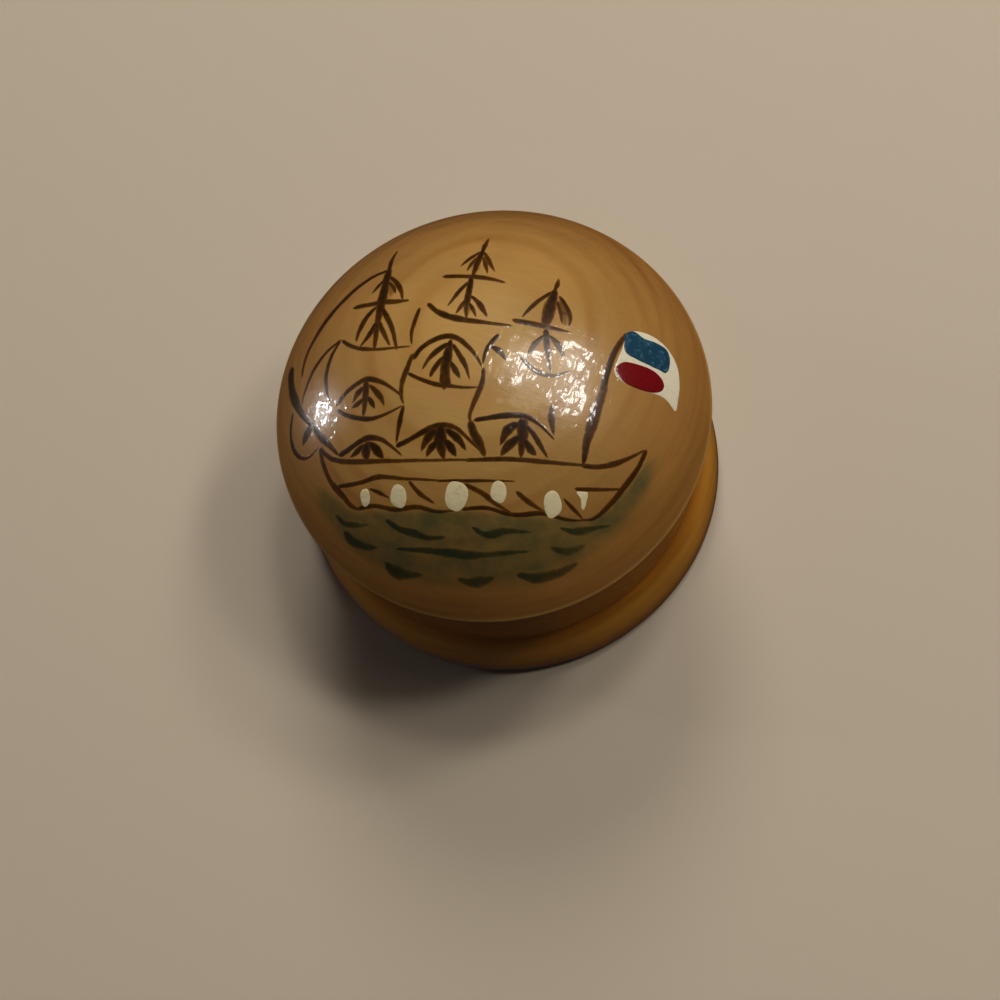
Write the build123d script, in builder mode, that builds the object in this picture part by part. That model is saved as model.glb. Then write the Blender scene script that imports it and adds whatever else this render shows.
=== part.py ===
from build123d import *

import os

# A small turned wooden trinket box with a ship painted on its lid. Millimetres, +Z up.
#
# The base is one turned piece: a rounded foot flange, a spigot, and the cup inside it. The lid is one
# turned piece too: a deep wall, a crisp rim and a dome, hollow inside, pushed over the spigot. The
# paint lies on the dome as films of one thickness. The origin is the centre of the underside, and +Y
# is the painted ship's mast direction.

# Outside, all turned about the Z axis
rim_d = 42.0          # crisp edge where the lid's wall meets its dome, the lid's widest circle
wall_draw = 1.4       # how far the wall draws in on its way down from the rim to the seam
foot_flare = 2.2      # how far the foot stands out beyond the seam
foot_h = 5.9          # table to seam
wall_h = 13.0         # seam to rim
dome_rise = 10.8      # rim to the top of the dome
foot_edge = 1.1       # rounding between the underside and the foot's widest circle
cove_depth = 0.45     # how far the lid's wall is hollowed below a straight taper
rim_round = 0.25
seam_round = 0.3      # eased edges on both sides of the seam

# Spigot and cup
lid_wall = 3.0        # wood outside the lid's socket at the seam
spigot_h = 7.0
spigot_wall = 2.3
spigot_lead = 0.5     # chamfer that starts the lid on the spigot
floor_t = 2.6
cup_round = 2.0       # rounding in the corner between the cup's wall and floor

# Inside of the lid
fit_gap = 0.06        # radial clearance of the socket on the spigot
socket_headroom = 0.6 # free height above the spigot
socket_step = 0.9     # how far the hollow above the socket is narrower than it
hollow_wall_h = 2.0   # straight wall of the hollow below its domed ceiling
crown_t = 3.4         # wood left over the middle of the hollow

# Paint
paint_t = 0.15
line_w = 0.55
mast_w = 0.9

rim_z = foot_h + wall_h
total_h = rim_z + dome_rise
rim_r = rim_d / 2
seam_r = rim_r - wall_draw
foot_r = seam_r + foot_flare
socket_r = seam_r - lid_wall
spigot_r = socket_r - fit_gap
spigot_top = foot_h + spigot_h
socket_top = spigot_top + socket_headroom
dome_r = (rim_r**2 + dome_rise**2) / (2 * dome_rise)
dome_centre_z = total_h - dome_r

os.makedirs("parts", exist_ok=True)


# Base: foot flange, shoulder, spigot and cup, turned from one blank
cup_r = spigot_r - spigot_wall
with BuildPart() as base:
    with BuildSketch(Plane.XZ):
        with BuildLine():
            Line((0, 0), (foot_r - foot_edge, 0))
            CenterArc((foot_r - foot_edge, foot_edge), foot_edge, -90, 90)
            TangentArc((foot_r, foot_edge), (seam_r, foot_h - seam_round), tangent=(0, 1))
            CenterArc((seam_r - seam_round, foot_h - seam_round), seam_round, 0, 90)
            Polyline(
                (seam_r - seam_round, foot_h),
                (spigot_r, foot_h),
                (spigot_r, spigot_top - spigot_lead),
                (spigot_r - spigot_lead, spigot_top),
                (cup_r, spigot_top),
                (cup_r, floor_t + cup_round),
            )
            CenterArc((cup_r - cup_round, floor_t + cup_round), cup_round, -90, 90)
            Polyline((cup_r - cup_round, floor_t), (0, floor_t), (0, 0))
        make_face()
    revolve(axis=Axis.Z)
base.part.label = "base"
export_step(base.part, "parts/base.step")


# Lid: wall with a slight cove, rim and dome outside; socket, step and domed hollow inside
hollow_r = socket_r - socket_step
hollow_spring = socket_top + hollow_wall_h
hollow_top = total_h - crown_t
ceiling_rise = hollow_top - hollow_spring
ceiling_r = (hollow_r**2 + ceiling_rise**2) / (2 * ceiling_rise)
with BuildPart() as lid:
    with BuildSketch(Plane.XZ):
        with BuildLine() as lid_line:
            Polyline((socket_r, foot_h), (seam_r - seam_round, foot_h))
            CenterArc((seam_r - seam_round, foot_h + seam_round), seam_round, -90, 90)
            SagittaArc((seam_r, foot_h + seam_round), (rim_r, rim_z), cove_depth)
            RadiusArc((rim_r, rim_z), (0, total_h), -dome_r)
            Line((0, total_h), (0, hollow_top))
            RadiusArc((0, hollow_top), (hollow_r, hollow_spring), ceiling_r)
            Polyline(
                (hollow_r, hollow_spring),
                (hollow_r, socket_top),
                (socket_r, socket_top),
                (socket_r, foot_h),
            )
            fillet(lid_line.vertices().sort_by(Axis.X)[-1:], rim_round)
        make_face()
    revolve(axis=Axis.Z)
lid.part.label = "lid"
export_step(lid.part, "parts/lid.step")


# Paint: each film is a drawing in plan, carried straight down and kept where it meets this skin,
# which lies on the dome from edge to edge. Points are in plan, +X to the ship's stern.
skin_reach = 1.0
picture_rim_r = 21.0  # the picture's points are drawn for a rim of this radius, and scaled with it
picture_scale = rim_r / picture_rim_r
with BuildPart() as skin:
    with Locations((0, 0, dome_centre_z)):
        Sphere(dome_r + paint_t)
        Sphere(dome_r, mode=Mode.SUBTRACT)

porthole_dabs = [
    # centre, half width, half height
    ((-10.5, -10.8), 0.5, 0.75),
    ((-7.2, -11.1), 0.75, 1.0),
    ((-1.8, -11.4), 1.05, 1.25),
    ((2.0, -11.1), 0.7, 0.95),
    ((6.7, -11.9), 0.8, 1.05),
    ((9.3, -11.3), 0.45, 0.8),
]
with BuildPart() as portholes:
    with BuildSketch(Plane.XY.offset(rim_z)):
        for centre, half_w, half_h in porthole_dabs:
            with Locations(centre):
                Ellipse(half_w, half_h)
        scale(by=picture_scale)
    extrude(amount=dome_rise + skin_reach)
    add(skin.part, mode=Mode.INTERSECT)
portholes.part.label = "portholes"
export_step(portholes.part, "parts/portholes.step")

# Brown strokes, each an arc through three points; the masts, poles and bowsprit are broader
hull_strokes = [
    ((-15.3, -5.6), (-12.8, -7.3), (-9.0, -7.9)),
    ((-9.0, -7.9), (1.0, -8.6), (11.0, -8.5)),
    ((11.0, -8.5), (13.2, -7.7), (15.0, -6.3)),
    ((-15.3, -5.6), (-13.9, -9.0), (-11.3, -11.8)),
    ((-11.3, -11.8), (-1.0, -12.7), (9.4, -12.9)),
    ((9.4, -12.9), (12.9, -10.2), (15.0, -6.3)),
    ((-13.3, -9.5), (-2.0, -9.8), (12.7, -10.2)),
    ((-6.0, -9.8), (-4.9, -11.1), (-3.3, -12.2)),
    ((-0.6, -10.2), (0.9, -11.7), (2.9, -12.5)),
    ((3.7, -10.9), (4.8, -12.0), (6.0, -12.6)),
]
sail_strokes = [
    # fore mast: yard, foot of the topsail, its edges, and the seams that fan from the mast
    ((-12.7, 8.0), (-9.8, 7.8), (-6.8, 7.3)),
    ((-13.4, 4.5), (-10.5, 2.8), (-6.2, 2.3)),
    ((-9.3, 11.3), (-10.2, 10.4), (-10.8, 9.2)),
    ((-9.2, 10.9), (-8.1, 9.5), (-7.4, 7.6)),
    ((-10.1, 7.4), (-11.4, 5.9), (-11.8, 4.2)),
    ((-9.6, 7.2), (-8.5, 5.0), (-7.8, 2.5)),
    ((-10.0, 5.6), (-10.5, 4.2), (-11.3, 3.3)),
    # main mast
    ((-3.8, 9.8), (-1.0, 9.6), (2.2, 8.8)),
    ((-4.9, 6.7), (-2.0, 4.8), (3.0, 3.9)),
    ((-0.5, 12.9), (-1.6, 11.9), (-2.2, 10.8)),
    ((0.0, 12.9), (0.6, 11.2), (1.2, 9.9)),
    ((-1.1, 8.9), (-2.1, 7.9), (-2.8, 6.5)),
    ((-0.9, 7.6), (0.1, 6.4), (0.7, 4.9)),
    # mizzen mast
    ((3.1, 4.5), (5.6, 4.1), (8.4, 3.7)),
    ((6.7, 8.4), (5.2, 6.6), (4.0, 4.9)),
    ((7.0, 7.8), (7.8, 6.2), (8.2, 4.3)),
    # fore, main and mizzen courses: head, foot and seams
    ((-13.5, -2.1), (-10.4, -0.4), (-6.8, -2.6)),
    ((-13.3, -2.7), (-9.8, -4.0), (-6.9, -3.2)),
    ((-10.7, -0.6), (-10.5, -2.3), (-10.6, -3.8)),
    ((-10.4, -0.9), (-9.4, -1.9), (-8.6, -3.3)),
    ((-10.8, -1.2), (-11.6, -2.0), (-12.2, -2.9)),
    ((-6.0, 0.9), (-2.8, 3.0), (0.7, -0.3)),
    ((-6.4, -0.3), (-3.1, -1.9), (0.4, -2.1)),
    ((-2.4, 2.8), (-2.9, 0.2), (-2.8, -1.7)),
    ((-2.2, 2.1), (-1.3, 0.4), (-0.6, -1.5)),
    ((-2.6, 1.8), (-3.8, 1.1), (-5.0, -0.1)),
    ((-7.4, -6.8), (-3.0, -5.3), (0.7, -7.8)),
    ((-3.0, -5.5), (-3.1, -6.9), (-2.9, -8.2)),
    ((-2.8, -5.7), (-1.5, -6.4), (-0.6, -7.9)),
    ((-3.2, -5.9), (-4.3, -6.6), (-5.0, -7.8)),
    ((-13.2, -6.8), (-10.2, -5.9), (-7.3, -7.1)),
    ((-0.3, -5.2), (3.3, -4.7), (7.0, -6.5)),
    ((4.2, -5.0), (4.3, -6.6), (4.0, -8.2)),
    ((4.5, -5.4), (5.4, -6.6), (6.4, -8.0)),
    ((3.9, -5.4), (2.9, -6.1), (2.2, -7.4)),
    # edges of the courses between the masts
    ((-5.7, 6.3), (-6.2, 4.2), (-6.0, 1.4)),
    ((-6.1, 1.2), (-6.8, -2.6), (-7.3, -6.6)),
    ((2.0, 3.1), (0.2, -1.0), (-0.5, -4.9)),
    ((-0.5, -5.2), (0.0, -6.8), (0.8, -8.2)),
    # stays to the bowsprit
    ((-9.5, 11.9), (-15.6, 7.9), (-17.8, 2.0)),
    ((-13.6, 4.6), (-16.0, 2.6), (-17.3, -0.8)),
    ((-13.6, 4.6), (-14.7, 2.0), (-14.3, -1.4)),
    ((-18.5, -1.0), (-18.2, -5.0), (-15.5, -5.8)),
]
mast_strokes = [
    ((-9.0, 14.8), (-9.4, 11.0), (-9.8, 2.6)),
    ((0.1, 14.8), (-0.6, 11.0), (-1.2, 4.6)),
    ((7.0, 9.4), (6.6, 6.6), (6.0, 4.0)),
    ((13.1, 4.4), (11.1, -1.6), (9.3, -8.4)),
    ((-19.3, 3.8), (-18.4, -0.4), (-16.2, -3.6)),
]
with BuildPart() as ship_lines:
    with BuildSketch(Plane.XY.offset(rim_z)) as ship_drawing:
        for strokes, width in ((hull_strokes + sail_strokes, line_w), (mast_strokes, mast_w)):
            for points in strokes:
                with BuildLine():
                    ThreePointArc(*points)
                trace(line_width=width)
        scale(by=picture_scale)
    extrude(amount=dome_rise + skin_reach)
    add(skin.part, mode=Mode.INTERSECT)
    add(portholes.part, mode=Mode.SUBTRACT)
ship_lines.part.label = "ship_lines"
export_step(ship_lines.part, "parts/ship_lines.step")

# Flag: a white ground with a blue and a red patch set into it
flag_outline = [
    (13.3, 4.2),
    (14.3, 4.9),
    (15.6, 4.7),
    (17.1, 3.9),
    (17.9, 1.9),
    (17.7, -1.9),
    (16.5, -0.8),
    (12.6, -0.3),
    (12.3, 1.6),
]
with BuildPart() as flag_blue:
    with BuildSketch(Plane.XY.offset(rim_z)):
        with Locations(Location((15.0, 3.0), -14)):
            RectangleRounded(3.7, 2.3, 0.4)
        scale(by=picture_scale)
    extrude(amount=dome_rise + skin_reach)
    add(skin.part, mode=Mode.INTERSECT)
    add(ship_lines.part, mode=Mode.SUBTRACT)
flag_blue.part.label = "flag_blue"
export_step(flag_blue.part, "parts/flag_blue.step")

with BuildPart() as flag_red:
    with BuildSketch(Plane.XY.offset(rim_z)):
        with Locations(Location((14.5, 0.4), -8)):
            Ellipse(2.0, 0.95)
        scale(by=picture_scale)
    extrude(amount=dome_rise + skin_reach)
    add(skin.part, mode=Mode.INTERSECT)
flag_red.part.label = "flag_red"
export_step(flag_red.part, "parts/flag_red.step")

with BuildPart() as flag_white:
    with BuildSketch(Plane.XY.offset(rim_z)):
        with BuildLine():
            Spline(*flag_outline, periodic=True)
        make_face()
        scale(by=picture_scale)
    extrude(amount=dome_rise + skin_reach)
    add(skin.part, mode=Mode.INTERSECT)
    for paint in (flag_blue, flag_red, ship_lines):
        add(paint.part, mode=Mode.SUBTRACT)
flag_white.part.label = "flag_white"
export_step(flag_white.part, "parts/flag_white.step")

# Sea: short curved strokes below the keel
wave_w = 0.7
wave_strokes = [
    ((-13.6, -11.8), (-12.4, -12.7), (-10.8, -13.0)),
    ((-13.0, -13.1), (-11.6, -14.4), (-9.9, -14.8)),
    ((-8.4, -12.9), (-6.0, -14.2), (-2.9, -14.6)),
    ((-7.8, -15.2), (-2.0, -16.2), (4.6, -15.5)),
    ((-0.3, -14.0), (1.8, -14.6), (4.8, -14.2)),
    ((6.8, -13.9), (9.2, -13.8), (11.4, -13.0)),
    ((6.4, -15.6), (8.2, -15.6), (9.6, -14.9)),
    ((-9.0, -16.2), (-7.2, -17.2), (-5.0, -17.4)),
    ((-2.2, -17.8), (-0.6, -18.2), (1.2, -17.7)),
    ((3.2, -17.5), (6.0, -17.6), (8.6, -16.4)),
]
with BuildPart() as waves:
    with BuildSketch(Plane.XY.offset(rim_z)):
        for points in wave_strokes:
            with BuildLine():
                ThreePointArc(*points)
            trace(line_width=wave_w)
        scale(by=picture_scale)
    extrude(amount=dome_rise + skin_reach)
    add(skin.part, mode=Mode.INTERSECT)
waves.part.label = "waves"
export_step(waves.part, "parts/waves.step")
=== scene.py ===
"""A small turned wooden trinket box with a sailing ship painted on the dome of its lid."""

import math

import bpy
import mathutils
import numpy as np
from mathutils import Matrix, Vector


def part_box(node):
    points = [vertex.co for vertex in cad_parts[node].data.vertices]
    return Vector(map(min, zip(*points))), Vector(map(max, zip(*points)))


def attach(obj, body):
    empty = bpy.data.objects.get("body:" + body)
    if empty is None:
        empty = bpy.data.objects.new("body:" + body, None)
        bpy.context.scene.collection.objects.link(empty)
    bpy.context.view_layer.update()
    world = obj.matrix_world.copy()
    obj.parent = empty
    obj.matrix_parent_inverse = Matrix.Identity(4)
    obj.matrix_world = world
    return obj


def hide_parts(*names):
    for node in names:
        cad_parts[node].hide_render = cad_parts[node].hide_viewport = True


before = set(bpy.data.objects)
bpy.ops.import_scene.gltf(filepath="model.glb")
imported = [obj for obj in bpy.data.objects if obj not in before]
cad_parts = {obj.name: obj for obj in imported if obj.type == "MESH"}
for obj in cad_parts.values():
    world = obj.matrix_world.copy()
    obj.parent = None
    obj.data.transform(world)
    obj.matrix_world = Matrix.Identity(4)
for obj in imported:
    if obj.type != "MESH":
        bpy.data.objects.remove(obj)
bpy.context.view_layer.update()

# ---------------------------------------------------------------------------------------------
# The lid. Turned from one piece of pale, close-grained wood such as lime: a dome, a crisp rim, a
# wall that draws in to the seam, and inside it a socket and a domed hollow. Outside it is stained
# amber and varnished with a brush; inside it is bare wood with the gouge's rings left in it.
# ---------------------------------------------------------------------------------------------
MM = 0.001
base_low, base_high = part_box("base")
lid_low, lid_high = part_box("lid")
seam_z = lid_low[2]
top_z = lid_high[2]
spigot_top = base_high[2]
foot_r = base_high[0]

rim_r = 21.0 * MM
wall_draw = 1.4 * MM
dome_rise = 10.8 * MM
cove_depth = 0.45 * MM
lid_wall = 3.0 * MM
fit_gap = 0.06 * MM
rim_round = 0.28 * MM
seam_round = 0.3 * MM
socket_headroom = 0.6 * MM
socket_step = 0.9 * MM
hollow_wall_h = 2.0 * MM
crown_t = 3.4 * MM
hand_wander = 0.05 * MM  # how far turned work held by hand strays from round

rim_z = top_z - dome_rise
seam_r = rim_r - wall_draw
socket_r = seam_r - lid_wall
dome_r = (rim_r**2 + dome_rise**2) / (2 * dome_rise)
dome_centre_z = top_z - dome_r


def arc(centre, radius, start, end, count):
    """Points on a circle: centre + radius * (cos a, sin a), with a in radians from start to end."""
    a = np.linspace(start, end, count)
    return np.column_stack([centre[0] + radius * np.cos(a), centre[1] + radius * np.sin(a)])


def straight(start, end, count):
    """Points evenly spaced from start to end."""
    return np.linspace(start, end, count)


def sagged(start, end, sag, count):
    """A straight line from start to end, moved sideways by sag * (1 - u^2), u from -1 to 1."""
    u = np.linspace(-1, 1, count)[:, None]
    line = np.linspace(start, end, count)
    along = np.subtract(end, start) / np.hypot(*np.subtract(end, start))
    return line + sag * (1 - u**2) * np.array([along[1], -along[0]])


def joined(*stretches):
    """One profile out of several stretches, each starting where the last one ends."""
    return np.vstack([stretches[0]] + [s[1:] for s in stretches[1:]])


def mesh_piece(name, points, faces, smooth_degrees=40):
    """A mesh object at the origin, smooth except where faces meet at more than smooth_degrees."""
    mesh = bpy.data.meshes.new(name)
    mesh.from_pydata(points.tolist(), [], faces)
    mesh.shade_smooth()
    mesh.set_sharp_from_angle(angle=math.radians(smooth_degrees))
    piece = bpy.data.objects.new(name, mesh)
    bpy.context.scene.collection.objects.link(piece)
    return piece


def turned(name, profile, turns, wander, seed):
    """A profile of (r, z) points carried round the Z axis, from a pole on the axis to another.

    Point (i, j) is (r_i + w) * (cos a_j, sin a_j), z_i, with a_j = 2 pi j / turns. w is the wander of
    work held by hand on the lathe: wander, given for each profile point, times the mean of three
    sines in a, of 2, 3 and 5 waves, whose phases drift with z. The two poles close with fans.
    """
    rng = np.random.default_rng(seed)
    phase = rng.uniform(0, 2 * math.pi, 3)
    r, z = profile[1:-1, 0][:, None], profile[1:-1, 1][:, None]
    a = np.linspace(0, 2 * math.pi, turns, endpoint=False)[None, :]
    waves = sum(np.sin(n * a + p + 40 * n * z) for n, p in zip((2, 3, 5), phase)) / 3
    rr = r + wander[1:-1, None] * waves
    rows = r.shape[0]
    grid = np.stack([rr * np.cos(a), rr * np.sin(a), z + 0 * a], axis=-1).reshape(-1, 3)
    first, last = [0, 0, profile[0, 1]], [0, 0, profile[-1, 1]]
    points = np.vstack([[first], grid, [last]])
    i, j = np.meshgrid(np.arange(rows - 1), np.arange(turns), indexing="ij")
    k = (j + 1) % turns
    low, high = 1 + i * turns, 1 + (i + 1) * turns
    quads = np.stack([low + j, high + j, high + k, low + k], axis=-1).reshape(-1, 4)
    ring = np.arange(turns)
    ahead = (ring + 1) % turns
    end = 1 + (rows - 1) * turns
    caps = np.vstack(
        [
            np.column_stack([np.zeros(turns, int), 1 + ring, 1 + ahead]),
            np.column_stack([np.full(turns, len(points) - 1), end + ahead, end + ring]),
        ]
    )
    return mesh_piece(name, points, quads.tolist() + caps.tolist())


def linear(hex_colour):
    """An sRGB hex colour as linear RGBA."""
    c = np.array([int(hex_colour[i : i + 2], 16) for i in (0, 2, 4)]) / 255
    c = np.where(c <= 0.04045, c / 12.92, ((c + 0.055) / 1.055) ** 2.4)
    return (*c.tolist(), 1.0)


def add(tree, kind, settings=None, inputs=None):
    """Adds one shader node; an input that is another node's output socket is linked."""
    made = tree.nodes.new("ShaderNode" + kind)
    for key, value in (settings or {}).items():
        setattr(made, key, value)
    for key, value in (inputs or {}).items():
        if isinstance(value, bpy.types.NodeSocket):
            tree.links.new(value, made.inputs[key])
        else:
            made.inputs[key].default_value = value
    return made


SMOOTH = {"interpolation_type": "SMOOTHSTEP"}
MULTIPLY_ADD = {"operation": "MULTIPLY_ADD"}
STRETCH = {"operation": "MULTIPLY"}
MIX_COLOURS = {"data_type": "RGBA"}
MULTIPLY_COLOURS = {"data_type": "RGBA", "blend_type": "MULTIPLY"}
AMBER_TONES = ("BB9252", "AE8040")  # the stained wood's own colour and its late wood's
VARNISHED_ROUGHNESS = 0.28
BARE_ROUGHNESS = 0.62
SURFACE_IOR = 1.5  # wood and dried oil paint alike


def node_tree(name):
    """A new material of that name: the material, its node tree and its shader."""
    made = bpy.data.materials.new(name)
    made.use_nodes = True
    return made, made.node_tree, made.node_tree.nodes["Principled BSDF"]


def wood_colour(tree, in_mm, pale, dark):
    """Lime: pale, even, no open pores, with faint thin lines of late wood. The blank's layers lie
    nearly flat and 1.27 mm apart, so the lines show as nested ovals round the dome and as level
    bands on the wall. Each year's line has its own strength, and all of them fade out in places.
    Fibres about 4 mm long and 0.2 mm wide run along X. Gives the colour and the fibre.
    """
    drift = add(tree, "TexNoise", {}, {"Vector": in_mm, "Scale": 0.08, "Detail": 2.0}).outputs[0]
    wide = add(tree, "VectorMath", STRETCH, {0: in_mm, 1: (0.25, 1, 1)}).outputs[0]
    from_pith = add(tree, "VectorMath", {"operation": "ADD"}, {0: wide, 1: (0, 0, 70)}).outputs[0]
    depth = add(tree, "VectorMath", {"operation": "LENGTH"}, {0: from_pith}).outputs["Value"]
    ring_gap = 1.27
    years = add(tree, "Math", MULTIPLY_ADD, {0: depth, 1: 1 / ring_gap, 2: 0.62}).outputs[0]
    years = add(tree, "Math", MULTIPLY_ADD, {0: drift, 1: 0.4, 2: years}).outputs[0]
    year = add(tree, "Math", {"operation": "FLOOR"}, {0: years}).outputs[0]
    growth = add(tree, "TexWhiteNoise", {"noise_dimensions": "1D"}, {"W": year}).outputs["Value"]
    growth = add(tree, "Math", {"operation": "POWER"}, {0: growth, 1: 2.0}).outputs[0]
    season = add(tree, "Math", {"operation": "FRACT"}, {0: years}).outputs[0]
    late = add(tree, "MapRange", SMOOTH, {0: season, 1: 0.3, 2: 0.78}).outputs[0]
    after = add(tree, "MapRange", SMOOTH, {0: season, 1: 1.0, 2: 0.78, 4: growth}).outputs[0]
    ring = add(tree, "Math", {"operation": "MULTIPLY"}, {0: late, 1: after}).outputs[0]
    along = add(tree, "VectorMath", STRETCH, {0: in_mm, 1: (0.25, 5, 5)}).outputs[0]
    fibre = add(tree, "TexNoise", {}, {"Vector": along, "Scale": 1.0, "Detail": 3.0}).outputs[0]
    cloud = add(tree, "TexNoise", {}, {"Vector": in_mm, "Scale": 0.16, "Detail": 3.0}).outputs[0]
    shows = add(tree, "MapRange", SMOOTH, {0: drift, 1: 0.38, 2: 0.6, 3: 0.15, 4: 1.0}).outputs[0]
    ring = add(tree, "Math", {"operation": "MULTIPLY"}, {0: ring, 1: shows}).outputs[0]
    tone = add(tree, "Mix", MIX_COLOURS, {0: ring, 6: linear(pale), 7: linear(dark)}).outputs[2]
    streak = add(tree, "MapRange", {}, {0: fibre, 1: 0.25, 2: 0.75, 3: 0.94, 4: 1.05}).outputs[0]
    patch = add(tree, "MapRange", {}, {0: cloud, 1: 0.3, 2: 0.7, 3: 0.93, 4: 1.06}).outputs[0]
    shade = add(tree, "Math", {"operation": "MULTIPLY"}, {0: streak, 1: patch}).outputs[0]
    shaded = add(tree, "VectorMath", {"operation": "SCALE"}, {0: tone, "Scale": shade}).outputs[0]
    return shaded, fibre


def wood_axes(tree):
    """Object coordinates in mm, turned so that the wood's layers rise slightly towards +Y."""
    place = add(tree, "TexCoord").outputs["Object"]
    turn = {"Vector": place, "Scale": (1000, 1000, 1000), "Rotation": (0.17, 0, 0.3)}
    return add(tree, "Mapping", {}, turn).outputs[0]


def stained_colour(tree, in_mm, pale, dark):
    """Lime under amber stain, with the sea's thin wash over it. 'varnish' on each point is how much
    darker amber lies there. It is partly amber that pooled and partly painted shade towards the rim,
    down the wall and at the foot's edges, with a little less on the rim's edge for a painted
    highlight.
    'wash' is how much of the grey-green wash lies there. Where the amber lies thick it was wiped
    round the work, which leaves level streaks about 0.6 mm high.
    """
    tone, fibre = wood_colour(tree, in_mm, pale, dark)
    # darker amber: pooled amber, and painted shade at the rim, the wall and the foot's edges
    amber_and_shade = add(tree, "Attribute", {"attribute_name": "varnish"}).outputs["Fac"]
    tone = add(tree, "Mix", MULTIPLY_COLOURS, {0: amber_and_shade, 6: tone, 7: linear("BE9239")}).outputs[2]
    round_it = add(tree, "VectorMath", STRETCH, {0: in_mm, 1: (0.1, 0.1, 1.6)}).outputs[0]
    wiped = add(tree, "TexNoise", {}, {"Vector": round_it, "Scale": 1.0, "Detail": 3.0}).outputs[0]
    wiped = add(tree, "MapRange", {}, {0: wiped, 1: 0.3, 2: 0.7, 3: -0.17, 4: 0.13}).outputs[0]
    wiped = add(tree, "Math", MULTIPLY_ADD, {0: wiped, 1: amber_and_shade, 2: 1.0}).outputs[0]
    tone = add(tree, "VectorMath", {"operation": "SCALE"}, {0: tone, "Scale": wiped}).outputs[0]
    pools = add(
        tree, "TexNoise", {}, {"Vector": in_mm, "Scale": 0.45, "Detail": 4.0, "Roughness": 0.6}
    ).outputs[0]
    uneven = add(tree, "MapRange", {}, {0: pools, 1: 0.3, 2: 0.7, 3: 0.4, 4: 0.85}).outputs[0]
    wash = add(tree, "Attribute", {"attribute_name": "wash"}).outputs["Fac"]
    wash = add(tree, "Math", {"operation": "MULTIPLY"}, {0: wash, 1: uneven}).outputs[0]
    washed = add(tree, "Mix", MIX_COLOURS, {0: wash, 6: tone, 7: linear("434D2C")}).outputs[2]
    return washed, fibre


def varnish_over(tree, shader, in_mm):
    """Brushed varnish: a clear glossy coat that levelled into dimples about 1 mm across and, less,
    into the brush's tracks, about 0.6 mm apart, so that a lamp's reflection breaks up into glints.
    """
    dimples = add(
        tree, "TexNoise", {}, {"Vector": in_mm, "Scale": 0.95, "Detail": 0.8, "Roughness": 0.45}
    ).outputs[0]
    tracks = add(tree, "VectorMath", STRETCH, {0: in_mm, 1: (1.8, 0.4, 1.8)}).outputs[0]
    tracks = add(tree, "TexNoise", {}, {"Vector": tracks, "Scale": 1.0, "Detail": 1.0}).outputs[0]
    height = add(tree, "Math", MULTIPLY_ADD, {0: tracks, 1: 0.5, 2: dimples}).outputs[0]
    skin = add(tree, "Bump", {}, {"Height": height, "Distance": 0.00013, "Strength": 0.9}).outputs[0]
    tree.links.new(skin, shader.inputs["Coat Normal"])
    shader.inputs["Coat Weight"].default_value = 0.75
    shader.inputs["Coat Roughness"].default_value = 0.11
    shader.inputs["Specular IOR Level"].default_value = 0.5
    shader.inputs["Coat IOR"].default_value = 1.52


def lime(name, pale, dark, varnished):
    """Turned and sanded lime: bare, dry and pale, or stained under brushed varnish. pale and dark
    are the wood's own colour and its late wood's.
    """
    made, tree, shader = node_tree(name)
    in_mm = wood_axes(tree)
    if varnished:
        tone, fibre = stained_colour(tree, in_mm, pale, dark)
        varnish_over(tree, shader, in_mm)
    else:
        tone, fibre = wood_colour(tree, in_mm, pale, dark)
    grain = add(tree, "Bump", {}, {"Height": fibre, "Distance": 0.00002, "Strength": 0.5}).outputs[0]
    tree.links.new(tone, shader.inputs["Base Color"])
    tree.links.new(grain, shader.inputs["Normal"])
    shader.inputs["Roughness"].default_value = VARNISHED_ROUGHNESS if varnished else BARE_ROUGHNESS
    shader.inputs["IOR"].default_value = SURFACE_IOR
    return made


amber_wood = lime("lime_under_amber_varnish", *AMBER_TONES, varnished=True)
bare_wood = lime("bare_turned_lime", "D8BC8C", "CEB080", varnished=False)


def note(piece, name, values):
    """Puts one value on each of the piece's points, from 0 to 1, for its material to read."""
    noted = piece.data.attributes.new(name, "FLOAT", "POINT")
    noted.data.foreach_set("value", np.clip(values, 0, 1).ravel().astype(np.float32))


def finish_rows(piece, turns, stained, bare, varnish):
    """Gives each ring of faces its wood, stained or bare, and each point its share of darker amber,
    which is partly pooled amber and partly painted shade and highlight.
    """
    bare = np.asarray(bare, bool)
    rows = np.concatenate([np.repeat(bare[1:-2], turns), np.repeat([bare[0], bare[-1]], turns)])
    piece.data.materials.append(stained)
    piece.data.materials.append(bare_wood)
    piece.data.polygons.foreach_set("material_index", rows.astype(np.int32))
    between = np.repeat(varnish[1:-1], turns)
    note(piece, "varnish", np.concatenate([varnish[:1], between, varnish[-1:]]))


def amber_and_shade_at(r, below_rim=0.0):
    """How dark the amber is, r metres from the axis: 0.75 ((r - 5) / 16)^1.2 on the dome, in
    mm, and more by up to 0.25 over the first 4 mm below the rim. This is partly amber that pooled
    towards the rim and partly painted shade on the dome's steep shoulder and down the wall.
    """
    from_top = 0.75 * np.clip((r - 5 * MM) / (16 * MM), 0, 1) ** 1.2
    return from_top + 0.25 * np.clip(below_rim / (4 * MM), 0, 1)


lid_turns = 360
round_r = rim_r - rim_round
round_slope = math.asin(round_r / (dome_r - rim_round))
round_centre = (round_r, dome_centre_z + (dome_r - rim_round) * math.cos(round_slope))
wall_top = (rim_r, round_centre[1])
wall_foot = (seam_r, seam_z + seam_round)
hollow_r = socket_r - socket_step
socket_top = spigot_top + socket_headroom
hollow_spring = socket_top + hollow_wall_h
hollow_top = top_z - crown_t
ceiling_rise = hollow_top - hollow_spring
ceiling_r = (hollow_r**2 + ceiling_rise**2) / (2 * ceiling_rise)
ceiling_slope = math.asin(hollow_r / ceiling_r)
quarter = math.pi / 2

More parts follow.
